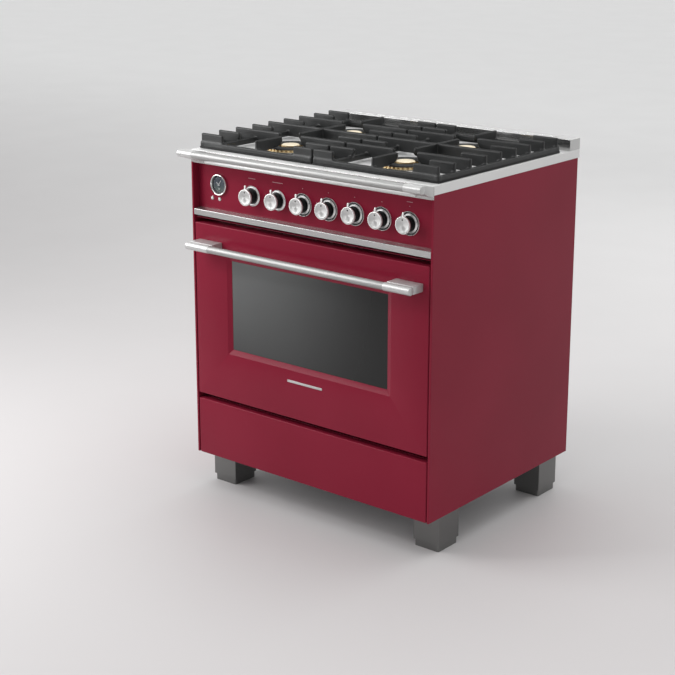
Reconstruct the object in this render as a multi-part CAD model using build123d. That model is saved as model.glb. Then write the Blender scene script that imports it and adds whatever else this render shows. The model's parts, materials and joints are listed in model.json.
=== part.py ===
from build123d import *
import os
import math

# Freestanding gas range, one oven, four burners.
# Frame: +X to the user's right, -Y to the front, +Z up. The origin is the centre
# of the footprint on the floor. Lengths are in millimetres.
# Inside this script Y is first counted from the plane of the door and drawer
# faces (y = 0) towards the back, and each piece is shifted by Y_FRONT when saved.

# ---- overall -------------------------------------------------------------
WIDTH = 759.0            # outside width of the body
HALF = WIDTH / 2
DEPTH = 627.0            # door plane to the back of the rear trim
TOP = 908.0              # cooktop surface
BODY_Z0 = 95.0           # underside of the body
HANDLE_OUT = 56.0        # how far the door handle stands out
Y_FRONT = -(DEPTH - HANDLE_OUT) / 2
SHEET = 1.2              # sheet thickness
FACE_X = 371.0           # half width of door and drawer faces

# ---- door ----------------------------------------------------------------
DOOR_Z0, DOOR_Z1, DOOR_T = 262.0, 721.0, 44.0
WIN_X, WIN_Z0, WIN_Z1 = 249.0, 401.0, 635.0      # clear glass
WIN_BEVEL = 13.0                                 # sloped border round the glass
HINGE_Y, HINGE_Z = 22.0, 275.0
HANDLE_Z, HANDLE_Y, HANDLE_R = 669.8, -46.0, 9.2
HANDLE_BR_X0, HANDLE_BR_X1 = 277.0, 354.0

# ---- drawer --------------------------------------------------------------
DRAWER_Z1 = 247.0

# ---- oven ----------------------------------------------------------------
OV_X, OV_Z0, OV_Z1, OV_Y1 = 290.0, 300.0, 700.0, 470.0
FRAME_Y = 48.0           # front face of the oven front frame

# ---- control panel -------------------------------------------------------
PANEL_Y, PANEL_Z0, PANEL_Z1 = 20.0, 759.0, 876.0
KNOB_Z = 808.0
KNOB_X = [-190.0, -105.0, -24.0, 56.5, 137.0, 217.5, 298.0]
GAS_KNOBS = [3, 4, 5, 6, 7]
KNOB_R, GRIP_R, STEM_R = 20.8, 16.5, 4.0
BEZEL_R, BEZEL_R_SMALL, BEZEL_BORE = 28.5, 26.0, 18.6
RUN = 0.05               # radial running clearance
CLOCK_X, CLOCK_Z, CLOCK_R = -301.0, 823.0, 27.3
DIAL_R = 21.8
BUTTON_X, BUTTON_Z, BUTTON_R = [-326.0, -301.0], 786.0, 3.4

# ---- front rail ----------------------------------------------------------
RAIL_Y, RAIL_Z, RAIL_R, RAIL_BR_X0 = -42.0, 904.4, 9.4, 329.0

# ---- burners and grates --------------------------------------------------
BURNERS = [(-182.0, 157.5), (182.0, 157.5), (-182.0, 409.0), (182.0, 409.0)]
GR_X0, GR_X1, GR_Y0, GR_Y1 = 2.0, 372.5, 26.5, 541.5
RIB_Y0, RIB_STEP, RIB_T = 33.0, 62.75, 9.0
GR_FOOT_Z, GR_ZF, GR_Z0, GR_Z1, GR_Z2 = 908.3, 911.0, 914.0, 924.5, 946.5
RIB_X1 = 369.5           # the ribs end short of the border frame's outer edge

# ---- legs ----------------------------------------------------------------
LEG_X0, LEG_X1, LEG_D = 296.0, 372.0, 82.0
LEG_Y = [54.0, 500.0]
FOOT_Z1 = 16.0
FOOT_R = 6.0

os.makedirs("parts", exist_ok=True)


def box(x0, x1, y0, y1, z0, z1):
    """Block between two corners."""
    x0, x1 = min(x0, x1), max(x0, x1)
    return Pos((x0 + x1) / 2, (y0 + y1) / 2, (z0 + z1) / 2) * Box(x1 - x0, y1 - y0, z1 - z0)


def cyl_x(x0, x1, y, z, r):
    return Pos((x0 + x1) / 2, y, z) * Rot(0, 90, 0) * Cylinder(r, abs(x1 - x0))


def cyl_y(x, y0, y1, z, r):
    return Pos(x, (y0 + y1) / 2, z) * Rot(90, 0, 0) * Cylinder(r, y1 - y0)


def cyl_z(x, y, z0, z1, r):
    return Pos(x, y, (z0 + z1) / 2) * Cylinder(r, z1 - z0)


def profile_x(points, x0, x1):
    """Closed (y, z) outline, extruded along X."""
    face = make_face(Polyline(*[(0, y, z) for y, z in points], close=True))
    return Pos(x0, 0, 0) * extrude(face, amount=x1 - x0, dir=(1, 0, 0))


def save(name, *solids):
    """One STEP per node. Several pieces of one node stay separate solids."""
    shape = solids[0] if len(solids) == 1 else Compound(children=list(solids))
    export_step(Pos(0, Y_FRONT, 0) * shape, f"parts/{name}.step")


def mx(f, s, a, b, *rest):
    """A block on the right side (s = 1) or mirrored to the left (s = -1)."""
    return f(s * a, s * b, *rest)


# ==== body ================================================================
# Side panels: painted skins with a narrow front pillar, whose inner return
# is the wall of the recess beside the control panel, and a rear flange.
sides = []
for s in (-1, 1):
    p = mx(box, s, HALF - SHEET, HALF, 0, 620, BODY_Z0, 876)
    p += mx(box, s, HALF - SHEET, HALF, 1.5, 620, 876, 886)
    p += mx(box, s, 374.0, HALF - SHEET, 0, 1.5, BODY_Z0, 876)
    p += mx(box, s, 374.0, 375.2, 1.5, 46, BODY_Z0, 876)
    p += mx(box, s, 352.0, HALF - SHEET, 618.8, 620, 205, 886)
    sides.append(p)
save("side_panels", *sides)

# Back panel with a cable hole and rows of cooling slots; the space below it
# is open for the gas inlet.
back = box(-376, 376, 620.2, 621.4, 205, 886)
back -= cyl_y(-250, 619, 623, 240, 11)
for row in (740, 760, 780):
    for i in range(-5, 6):
        back -= box(i * 60 - 20, i * 60 + 20, 619, 623, row, row + 6)
save("back_panel", back)

# Base pan, a shallow tray on the legs.
pan = box(-373.6, 373.6, 24, 47, 95, 97) + box(-378, 378, 47, 618, 95, 97)
for s in (-1, 1):
    pan += mx(box, s, 376.8, 378, 47, 618, 97, 104)
pan += box(-376.8, 376.8, 616.8, 618, 97, 104)
for x in (-180, 0, 180):
    for y in (180, 320, 460):
        pan -= box(x - 45, x + 45, y - 3, y + 3, 94, 98)
save("base_pan", pan)

# Legs: square stainless sleeves closed by a top plate, with a cross plate
# threaded for the foot.
legs = []
leg_c = []
for s in (-1, 1):
    for y0 in LEG_Y:
        xa, xb = sorted((s * LEG_X0, s * LEG_X1))
        cx, cy = (xa + xb) / 2, y0 + LEG_D / 2
        leg_c.append((cx, cy))
        leg = box(xa, xb, y0, y0 + LEG_D, FOOT_Z1 + 0.8, 95)
        leg -= box(xa + 1.5, xb - 1.5, y0 + 1.5, y0 + LEG_D - 1.5, 0, 92)
        leg += box(xa + 1.5, xb - 1.5, y0 + 1.5, y0 + LEG_D - 1.5, 42, 48)
        leg += cyl_z(cx, cy, 34, 42, 12)
        leg -= cyl_z(cx, cy, 30, 50, FOOT_R + RUN)
        legs.append(leg)
save("leg_sleeves", *legs)

# Levelling feet: a block that shows below the sleeve, on a screw.
for (cx, cy), name in zip(leg_c, ("foot_front_left", "foot_rear_left", "foot_front_right", "foot_rear_right")):
    foot = box(cx - 35.5, cx + 35.5, cy - 38.5, cy + 38.5, 0, FOOT_Z1)
    foot = fillet(foot.edges().filter_by(Axis.Z), 4)
    foot += cyl_z(cx, cy, FOOT_Z1, 84, FOOT_R)
    save(name, foot)

# Front frame round the oven mouth, with the rail between door and drawer.
frame = box(-373.6, 373.6, FRAME_Y, FRAME_Y + 2, 226, 740)
frame -= box(-OV_X, OV_X, FRAME_Y - 1, FRAME_Y + 3, OV_Z0, OV_Z1)
frame += box(-373.6, 373.6, 24, FRAME_Y, 246.2, 247.4)
frame += box(-373.6, 373.6, 24, 25.2, 226, 246.2)
frame += box(-373.6, 373.6, 6, FRAME_Y, 733.6, 734.8)
save("front_frame", frame)

# ==== oven ================================================================
liner = box(-OV_X - 1.5, OV_X + 1.5, FRAME_Y + 2, OV_Y1 + 1.5, OV_Z0 - 1.5, OV_Z1 + 1.5)
liner -= box(-OV_X, OV_X, FRAME_Y, OV_Y1, OV_Z0, OV_Z1)
for x in range(-240, 241, 48):
    liner -= box(x - 14, x + 14, 70, 76, OV_Z0 - 2, OV_Z0 + 1)
liner -= cyl_y(0, OV_Y1 - 1, OV_Y1 + 3, 500, 7)
save("oven_liner", liner)

wool = box(-326, 326, FRAME_Y + 2, 506, OV_Z0 - 1.5, 732)
wool -= box(-OV_X - 1.5, OV_X + 1.5, FRAME_Y, OV_Y1 + 1.5, OV_Z0 - 3, OV_Z1 + 1.5)
wool -= cyl_y(0, OV_Y1, 510, 500, 34)
save("oven_insulation", wool)


def rack(z):
    """Wire rack: border frame, cross wires and two long bearers."""
    r = cyl_x(-276, 276, 72, z, 3) + cyl_x(-276, 276, 434, z, 3)
    for s in (-1, 1):
        r += cyl_y(s * 276, 72, 434, z, 3)
    for i in range(-10, 11):
        r += cyl_y(i * 26, 72, 434, z, 1.6)
    r += cyl_x(-276, 276, 256, z - 1.8, 2.2)
    return r


racks = [rack(380.0), rack(520.0)]
ladder = cyl_z(286, 100, 330, 640, 2.5) + cyl_z(286, 400, 330, 640, 2.5)
for z in (340, 375.2, 420, 470, 515.2, 560, 610):
    ladder += cyl_y(282.4, 76, 430, z, 1.7)
racks += [ladder, mirror(ladder, about=Plane.YZ)]
save("oven_racks", *racks)

# Fan at the back of the oven: perforated baffle, fan wheel and motor.
baffle = box(-130, 130, 442, 443.2, 385, 640)
baffle += box(-130, -128.8, 443.2, OV_Y1, 385, 640) + box(128.8, 130, 443.2, OV_Y1, 385, 640)
for k in range(12):
    a = math.radians(30 * k)
    baffle -= cyl_y(58 * math.cos(a), 440, 446, 500 + 58 * math.sin(a), 8)
for k in range(6):
    a = math.radians(60 * k + 15)
    baffle -= cyl_y(30 * math.cos(a), 440, 446, 500 + 30 * math.sin(a), 7)
save("fan_baffle", baffle)

wheel = cyl_y(0, 448, 449.2, 500, 62) + cyl_y(0, 449.2, 462, 500, 10) + cyl_y(0, 462, 520, 500, 4)
for k in range(10):
    wheel += Pos(0, 456, 500) * Rot(0, 36 * k, 0) * Pos(50, 0, 0) * Rot(0, 25, 0) * Box(22, 14.4, 1.2)
save("convection_fan", wheel)

motor = cyl_y(0, 507, 575, 500, 32)
motor -= cyl_y(0, 506, 525, 500, 4 + RUN)
motor += box(-48, 48, 507, 509, 470, 530) - cyl_y(0, 506, 525, 500, 20)
save("fan_motor", motor)

# Gas burner under the oven floor, and the broil burner below the roof.
bake = cyl_y(0, 84, 470, 281, 11)
bake += box(-70, 70, 96, 110, 274, 288) + box(-70, 70, 396, 410, 274, 288)
bake += box(-80, -60, 96, 410, 274, 288) + box(60, 80, 96, 410, 274, 288)
broil = box(-150, 150, 90, 360, 682, 697) - box(-138, 138, 102, 348, 680, 686)
broil += cyl_y(0, 360, OV_Y1 - 1, 690, 6)
save("oven_burners", bake, broil)

# ==== door ================================================================
# Hinge arms and their receivers, either side, on one axis.
NOTCH_X0, NOTCH_X1 = 316.0, 327.0
receivers, arms = [], []
for s in (-1, 1):
    lug = mx(box, s, 318.5, 324.5, HINGE_Y, FRAME_Y, HINGE_Z - 6, HINGE_Z + 6)
    lug += mx(cyl_x, s, 318.5, 324.5, HINGE_Y, HINGE_Z, 8)
    lug -= mx(cyl_x, s, 310, 330, HINGE_Y, HINGE_Z, 4 + RUN)
    receivers.append(lug)
    arm = mx(box, s, 313, 315.6, 6, 38, HINGE_Z - 9, 420) + mx(box, s, 327.4, 330, 6, 38, HINGE_Z - 9, 420)
    arm += mx(box, s, 315.6, 327.4, 32, 34, 300, 420)
    arm += mx(cyl_x, s, 313, 330, HINGE_Y, HINGE_Z, 4)
    arms.append(arm)
save("hinge_receivers", *receivers)
save("door_hinge_arms", *arms)


def notch():
    n = Part()
    for s in (-1, 1):
        n += mx(box, s, NOTCH_X0, NOTCH_X1, 10, 60, 250, 300)
    return n


# Outer door panel: a pressed pan with a sloped border round the window.
skin = box(-FACE_X, FACE_X, 0, DOOR_T - 6, DOOR_Z0, DOOR_Z1)
skin = fillet(skin.edges().filter_by(Axis.Z).sort_by(Axis.Y)[:2], 1.6)
skin -= box(-FACE_X + 1.5, FACE_X - 1.5, 1.6, DOOR_T, DOOR_Z0 + 1.5, DOOR_Z1 - 1.5)
skin += box(-WIN_X - 20, WIN_X + 20, 1.6, 6, WIN_Z0 - 20, WIN_Z1 + 20)
wc = (WIN_Z0 + WIN_Z1) / 2
wh = WIN_Z1 - WIN_Z0
b0 = Plane(origin=(0, 0, wc), x_dir=(1, 0, 0), z_dir=(0, 1, 0))
funnel = loft([
    (b0.offset(-0.5) * Rectangle(2 * (WIN_X + WIN_BEVEL) + 2, wh + 2 * WIN_BEVEL + 2)).face(),
    (b0.offset(6.5) * Rectangle(2 * WIN_X - 1, wh - 1)).face(),
])
skin -= funnel
skin -= notch()
save("door_outer_panel", skin)

glass = box(-WIN_X - 12, WIN_X + 12, 6, 10, WIN_Z0 - 12, WIN_Z1 + 12)
save("door_outer_glass", glass)

inner = box(-FACE_X, FACE_X, DOOR_T - 6, DOOR_T, DOOR_Z0, DOOR_Z1)
inner -= box(-FACE_X + 1.5, FACE_X - 1.5, DOOR_T - 7, DOOR_T - 1.5, DOOR_Z0 + 1.5, DOOR_Z1 - 1.5)
inner -= box(-220, 220, DOOR_T - 8, DOOR_T + 1, 412, 632)
inner += box(-228, -220, 14, DOOR_T, 404, 640) + box(220, 228, 14, DOOR_T, 404, 640)
inner += box(-220, 220, 14, DOOR_T, 404, 412) + box(-220, 220, 14, DOOR_T, 632, 640)
inner -= notch()
save("door_inner_panel", inner)
save("door_inner_glass", box(-220, 220, DOOR_T - 5, DOOR_T - 1, 412, 632), box(-220, 220, 22, 26, 412, 632))

# Handle: a round bar held at both ends by flat-topped brackets whose front
# is a half round slightly larger than the bar.
save("door_handle_bar", cyl_x(-HANDLE_BR_X0, HANDLE_BR_X0, HANDLE_Y, HANDLE_Z, HANDLE_R))
brackets = []
for s in (-1, 1):
    b = mx(box, s, HANDLE_BR_X0, HANDLE_BR_X1, HANDLE_Y, 0, HANDLE_Z - 9.8, HANDLE_Z + 9.8)
    b += mx(cyl_x, s, HANDLE_BR_X0, HANDLE_BR_X1, HANDLE_Y, HANDLE_Z, 10.0)
    brackets.append(b)
save("door_handle_brackets", *brackets)

# ==== storage drawer ======================================================
df = box(-FACE_X, FACE_X, 0, 20, BODY_Z0, DRAWER_Z1)
df = fillet(df.edges().filter_by(Axis.Z).sort_by(Axis.Y)[:2], 1.6)
df -= box(-FACE_X + 1.5, FACE_X - 1.5, 1.6, 21, BODY_Z0 + 1.5, DRAWER_Z1 - 1.5)
df += box(-FACE_X + 1.5, FACE_X - 1.5, 18.8, 20, BODY_Z0 + 1.5, DRAWER_Z1 - 1.5)
save("drawer_front", df)

tray = box(-332, 332, 20, 540, 107, 215)
tray -= box(-330.8, 330.8, 21.2, 538.8, 108.2, 216)
for s in (-1, 1):
    tray += mx(box, s, 332, 341, 30, 540, 160, 176)
save("drawer_box", tray)

rails = []
for s in (-1, 1):
    r = mx(box, s, 341.6, 347, 50, 560, 152, 184)
    r -= mx(box, s, 340, 345.4, 49, 561, 154, 182)
    r += mx(box, s, 347, 378.3, 90, 110, 160, 176) + mx(box, s, 347, 378.3, 500, 520, 160, 176)
    rails.append(r)
save("drawer_rails", *rails)

# ==== control panel =======================================================
strip = profile_x([(0, 740.5), (0, 755), (1.5, 756), (20, 758.8), (20, 757.3), (2.6, 754.5),
                   (1.6, 753.8), (1.6, 742.1), (20, 742.1), (20, 740.5)], -373.6, 373.6)
save("panel_trim_strip", strip)

panel = box(-373.6, 373.6, PANEL_Y, PANEL_Y + 1.6, 742.3, 874.2)
for x in KNOB_X:
    panel -= cyl_y(x, 15, 25, KNOB_Z, 7)
panel -= cyl_y(CLOCK_X, 15, 25, CLOCK_Z, DIAL_R + 0.8)
for x in BUTTON_X:
    panel -= cyl_y(x, 15, 25, BUTTON_Z, BUTTON_R + 0.4)
save("control_panel", panel)

# Gas knobs have a double ring, the two oven knobs a smaller single one.
bezels = []
for i, x in enumerate(KNOB_X, 1):
    if i in GAS_KNOBS:
        b = cyl_y(x, 16.6, PANEL_Y, KNOB_Z, BEZEL_R) - cyl_y(x, 10, 18.2, KNOB_Z, 24.4)
    else:
        b = cyl_y(x, 16.9, PANEL_Y, KNOB_Z, BEZEL_R_SMALL)
    bezels.append(b - cyl_y(x, 10, 25, KNOB_Z, BEZEL_BORE))
save("knob_bezels", *bezels)


def knob(x, back):
    """Metal cap with a pointer tab on a ribbed grip, fixed on its stem."""
    k = cyl_y(x, -8, -3, KNOB_Z, KNOB_R)
    k = fillet(k.edges().sort_by(Axis.Y)[:1], 0.8)
    k += cyl_y(x, -3, 14, KNOB_Z, GRIP_R)
    k += box(x - 2.2, x + 2.2, -7.4, -3.4, KNOB_Z + 17, KNOB_Z + 30.5)
    return [k, cyl_y(x, 14, back, KNOB_Z, STEM_R)]


bodies = []
for i, x in enumerate(KNOB_X, 1):
    if i in GAS_KNOBS:
        # The collar carries the return spring and the ignition switch. It
        # moves in with the stem and does not turn.
        save(f"knob_{i}", *knob(x, 62))
        collar = cyl_y(x, 31, 35, KNOB_Z, 10) - cyl_y(x, 30, 36, KNOB_Z, STEM_R + RUN)
        save(f"valve_collar_{i}", collar + box(x - 3, x + 3, 31, 35, KNOB_Z - 15, KNOB_Z - 9))
        v = box(x - 13, x + 13, 40, 75, KNOB_Z - 13, KNOB_Z + 13)
        v -= cyl_y(x, 38, 68, KNOB_Z, STEM_R + RUN)
        v += cyl_z(x, 58, KNOB_Z + 13, KNOB_Z + 34, 6)
    else:
        save(f"knob_{i}", *knob(x, 62))
        v = box(x - 22, x + 22, 34, 78, KNOB_Z - 22, KNOB_Z + 22)
        v -= cyl_y(x, 30, 66, KNOB_Z, STEM_R + RUN)
    bodies.append(v)
save("valves_and_switches", *bodies)

# Clock: bezel, dial with its case behind the panel, two hands, two buttons.
bez = cyl_y(CLOCK_X, 13, PANEL_Y, CLOCK_Z, CLOCK_R)
bez = fillet(bez.edges().sort_by(Axis.Y)[:1], 2.0)
bez -= cyl_y(CLOCK_X, 10, 22, CLOCK_Z, DIAL_R + 0.4)
save("clock_bezel", bez)
dial = cyl_y(CLOCK_X, 18.6, 48, CLOCK_Z, DIAL_R)
dial += box(CLOCK_X - 36, CLOCK_X + 36, 27, 48, CLOCK_Z - 48, CLOCK_Z + 30)
dial -= cyl_y(CLOCK_X, 17, 26, CLOCK_Z, 1.3)
for x in BUTTON_X:
    dial -= cyl_y(x, 20, 34, BUTTON_Z, BUTTON_R + 0.4)
save("clock_dial", dial)


def hand(angle, length, y0, y1, hub, post_y0, post_y1, post_r, bore):
    """Clock hand pointing at an angle clockwise from twelve."""
    h = cyl_y(CLOCK_X, y0, y1, CLOCK_Z, hub)
    h += Pos(CLOCK_X, (y0 + y1) / 2, CLOCK_Z) * Rot(0, angle, 0) * Pos(0, 0, length / 2 - 1) * Box(1.6, y1 - y0, length + 2)
    h += cyl_y(CLOCK_X, post_y0, post_y1, CLOCK_Z, post_r)
    if bore:
        h -= cyl_y(CLOCK_X, y0 - 1, post_y1 + 1, CLOCK_Z, bore)
    return h


save("clock_minute_hand", hand(38, 15, 15.6, 16.2, 2.2, 16.2, 24, 0.6, 0))
save("clock_hour_hand", hand(-55, 10, 16.9, 17.5, 2.2, 17.5, 23, 1.25, 0.65))

for x, name in zip(BUTTON_X, ("clock_button_left", "clock_button_right")):
    b = cyl_y(x, 17, 29, BUTTON_Z, BUTTON_R)
    save(name, fillet(b.edges().sort_by(Axis.Y)[:1], 1.2))

# Manifold along the valves, supply tube to the back, and threaded inlet.
manifold = box(-45, 336, 75, 93, KNOB_Z - 9, KNOB_Z + 9) - box(-43, 334, 77, 91, KNOB_Z - 7, KNOB_Z + 7)
path = FilletPolyline((336, 84, KNOB_Z), (357, 84, KNOB_Z), (357, 596, KNOB_Z), (357, 596, 160), (324, 596, 160), radius=16)
tube = sweep((path ^ 0) * Circle(6), path=path)
inlet = box(296, 324, 582, 610, 146, 174) + cyl_y(310, 610, 626.5, 160, 10.6)
save("gas_manifold", manifold, tube, inlet)

# ==== cooktop =============================================================
fascia = box(-HALF, HALF, 0, 1.5, 876, 906)
fascia += box(-373.6, 373.6, 1.5, 21.6, 874.8, 876.3)
fascia += box(-373.6, 373.6, 1.5, 2.0, 875.5, 880)
save("front_fascia", fascia)

# Front rail with its two tapering end brackets.
rail_brackets = []
for s in (-1, 1):
    b = profile_x([(0, 880), (0, 907), (-36, RAIL_Z + 9.2), (RAIL_Y, RAIL_Z + 9.6), (RAIL_Y, RAIL_Z - 9.6), (-36, RAIL_Z - 9.4)],
                  *sorted((s * RAIL_BR_X0, s * HALF)))
    b += mx(cyl_x, s, RAIL_BR_X0, HALF, RAIL_Y, RAIL_Z, 9.8)
    rail_brackets.append(b)
save("front_rail_bar", cyl_x(-RAIL_BR_X0, RAIL_BR_X0, RAIL_Y, RAIL_Z, RAIL_R))
save("front_rail_brackets", *rail_brackets)

top = box(-HALF, HALF, 0, DEPTH, 906, TOP)
for s in (-1, 1):
    top += mx(box, s, HALF - SHEET, HALF, 1.5, DEPTH, 886, 906)
top += box(-HALF + SHEET, HALF - SHEET, DEPTH - SHEET, DEPTH, 886, 906)
for x, y in BURNERS:
    top -= cyl_z(x, y, 900, 910, 34)
save("cooktop", top)

trim = box(-HALF, HALF, 580, DEPTH, TOP, 937)
trim -= box(-HALF + SHEET, HALF - SHEET, 580 + SHEET, DEPTH - SHEET, TOP - 1, 937 - SHEET)
for i in range(-8, 9):
    trim -= box(i * 40 - 14, i * 40 + 14, 600, 604, 930, 940)
save("rear_trim", trim)

# Burners: base with gas cup, brass flame ring with ports round a brass
# centre burner, a black ring-shaped cap and a small centre cap.
bases, heads, caps = [], [], []
for x, y in BURNERS:
    b = cyl_z(x, y, 868, 905.8, 44) - cyl_z(x, y, 880, 910, 40)
    b += cyl_z(x, y, 860, 908, 33.6) - cyl_z(x, y, 866, 910, 30)
    b += cyl_z(x, y, 908, 909.5, 62) - cyl_z(x, y, 900, 911, 30)
    bases.append(b)
    ring = cyl_z(x, y, 909.5, 915.5, 63.5) - cyl_z(x, y, 905, 920, 38)
    for k in range(36):
        ring -= Pos(x, y, 913.4) * Rot(0, 0, 10 * k + 5) * Pos(60, 0, 0) * Box(12, 3.6, 4.4)
    heads.append(ring)
    heads.append(cyl_z(x, y, 909.5, 918.6, 24) - cyl_z(x, y, 905, 914, 18))
    cap = cyl_z(x, y, 915.5, 919, 65) - cyl_z(x, y, 910, 925, 33)
    caps.append(fillet(cap.edges().filter_by(GeomType.CIRCLE).sort_by(Axis.Z)[-2:], 1.2))
    cc = cyl_z(x, y, 918.6, 921.6, 22.5)
    caps.append(fillet(cc.edges().sort_by(Axis.Z)[-1:], 1.4))
save("burner_bases", *bases)
save("burner_heads", *heads)
save("burner_caps", *caps)


def grate(s):
    """Cast grate over two burners: low border frame, tall thin ribs across it
    that stop short of each burner, fingers from front, middle and rear, and
    resting feet."""
    def bar(a, b, y0, y1, z0, z1):
        return mx(box, s, a, b, y0, y1, z0, z1)

    def rib(i, a, b, end):
        """Rib i from a to b; its free end slopes down below the top."""
        y = RIB_Y0 + RIB_STEP * i
        lo, hi = a, b
        pts = [(lo, GR_Z0), (hi, GR_Z0), (hi, GR_Z2), (lo, GR_Z2)]
        if end == "hi":
            pts = [(lo, GR_Z0 + 2), (hi - 12, GR_Z0 + 6), (hi, GR_Z2 - 14), (hi, GR_Z2 - 2), (hi - 4, GR_Z2), (lo, GR_Z2)]
        if end == "lo":
            pts = [(lo + 12, GR_Z0 + 6), (hi, GR_Z0 + 2), (hi, GR_Z2), (lo + 4, GR_Z2), (lo, GR_Z2 - 2), (lo, GR_Z2 - 14)]
        face = make_face(Polyline(*[(s * px, y - RIB_T / 2, pz) for px, pz in pts], close=True))
        return extrude(face, amount=RIB_T, dir=(0, 1, 0))

    def finger(y0, y1, end):
        """Rib along Y over the burner's centre line."""
        x = s * BURNERS[1][0]
        if end == "hi":
            pts = [(y0, GR_Z0), (y1 - 16, GR_Z0 + 10), (y1, GR_Z2 - 13), (y1, GR_Z2 - 2), (y1 - 4, GR_Z2), (y0, GR_Z2)]
        else:
            pts = [(y0 + 16, GR_Z0 + 10), (y1, GR_Z0), (y1, GR_Z2), (y0 + 4, GR_Z2), (y0, GR_Z2 - 2), (y0, GR_Z2 - 13)]
        face = make_face(Polyline(*[(x - RIB_T / 2, py, pz) for py, pz in pts], close=True))
        return extrude(face, amount=RIB_T, dir=(1, 0, 0))

    g = bar(GR_X0, GR_X1, GR_Y0, GR_Y0 + 11.5, GR_ZF, GR_Z1)
    g += bar(GR_X0, GR_X1, GR_Y1 - 11.5, GR_Y1, GR_ZF, GR_Z1)
    g += bar(GR_X0, GR_X0 + 10, GR_Y0, GR_Y1, GR_ZF, GR_Z1)
    g += bar(GR_X1 - 11, GR_X1, GR_Y0, GR_Y1, GR_ZF, GR_Z1)
    g += bar(62, 70, GR_Y0 + 5, GR_Y1 - 5, GR_Z0, GR_Z1 + 2.5)
    g += bar(294, 302, GR_Y0 + 5, GR_Y1 - 5, GR_Z0, GR_Z1 + 2.5)
    for i in (0, 8):
        g += rib(i, GR_X0, 62, "") + rib(i, 298, RIB_X1, "")
    for i in (1, 3, 5, 7):
        g += rib(i, GR_X0, 76, "hi") + rib(i, 298, RIB_X1, "lo")
    for i in (2, 6):
        g += rib(i, GR_X0, 148, "hi") + rib(i, 216, RIB_X1, "lo")
    g += rib(4, GR_X0, RIB_X1, "")
    mid = RIB_Y0 + 4 * RIB_STEP
    end = RIB_Y0 + 8 * RIB_STEP + RIB_T / 2
    g += finger(GR_Y0 + 2, 123, "hi") + finger(192, mid, "lo")
    g += finger(mid, 374, "hi") + finger(445, end, "lo")
    for fx in (20, 354):
        for fy in (GR_Y0 + 5, GR_Y1 - 5):
            g += cyl_z(s * fx, fy, GR_FOOT_Z, GR_ZF, 4.5)
    return g


save("grate_left", grate(-1))
save("grate_right", grate(1))
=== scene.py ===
"""Looks of a free-standing gas range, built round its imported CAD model."""
import json
import math
import bpy
import bmesh
from mathutils import Matrix, Vector


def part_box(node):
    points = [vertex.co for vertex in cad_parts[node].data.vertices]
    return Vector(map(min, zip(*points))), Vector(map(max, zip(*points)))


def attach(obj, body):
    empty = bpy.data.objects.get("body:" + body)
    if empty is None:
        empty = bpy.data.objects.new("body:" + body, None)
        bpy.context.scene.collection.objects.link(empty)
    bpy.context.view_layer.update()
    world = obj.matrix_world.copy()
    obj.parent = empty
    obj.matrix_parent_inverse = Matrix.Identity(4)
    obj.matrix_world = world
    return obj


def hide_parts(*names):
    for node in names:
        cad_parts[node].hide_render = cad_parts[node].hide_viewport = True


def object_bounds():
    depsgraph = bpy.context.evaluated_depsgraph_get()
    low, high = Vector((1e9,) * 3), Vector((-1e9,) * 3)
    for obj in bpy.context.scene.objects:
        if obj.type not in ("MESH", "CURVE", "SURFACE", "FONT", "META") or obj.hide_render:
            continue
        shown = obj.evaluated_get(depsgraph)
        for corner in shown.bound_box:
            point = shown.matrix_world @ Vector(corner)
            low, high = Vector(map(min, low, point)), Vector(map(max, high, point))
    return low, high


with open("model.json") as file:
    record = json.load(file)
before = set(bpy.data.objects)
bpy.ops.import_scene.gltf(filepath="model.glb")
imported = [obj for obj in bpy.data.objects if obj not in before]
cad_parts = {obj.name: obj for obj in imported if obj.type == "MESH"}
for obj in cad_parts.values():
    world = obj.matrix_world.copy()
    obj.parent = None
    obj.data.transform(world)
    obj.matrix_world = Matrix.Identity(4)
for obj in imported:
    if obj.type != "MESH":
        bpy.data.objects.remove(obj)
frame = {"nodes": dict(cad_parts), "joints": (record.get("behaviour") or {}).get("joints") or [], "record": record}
cad_lo, cad_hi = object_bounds()
scene = bpy.context.scene
nodes = frame["nodes"]
joints = {j["name"]: j for j in frame["joints"]}
MM = 0.001
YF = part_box("drawer_front")[0].y          # plane of the door and drawer faces


def fy(y):
    """Millimetres behind the door plane -> metres in the row frame."""
    return YF + y * MM


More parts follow.
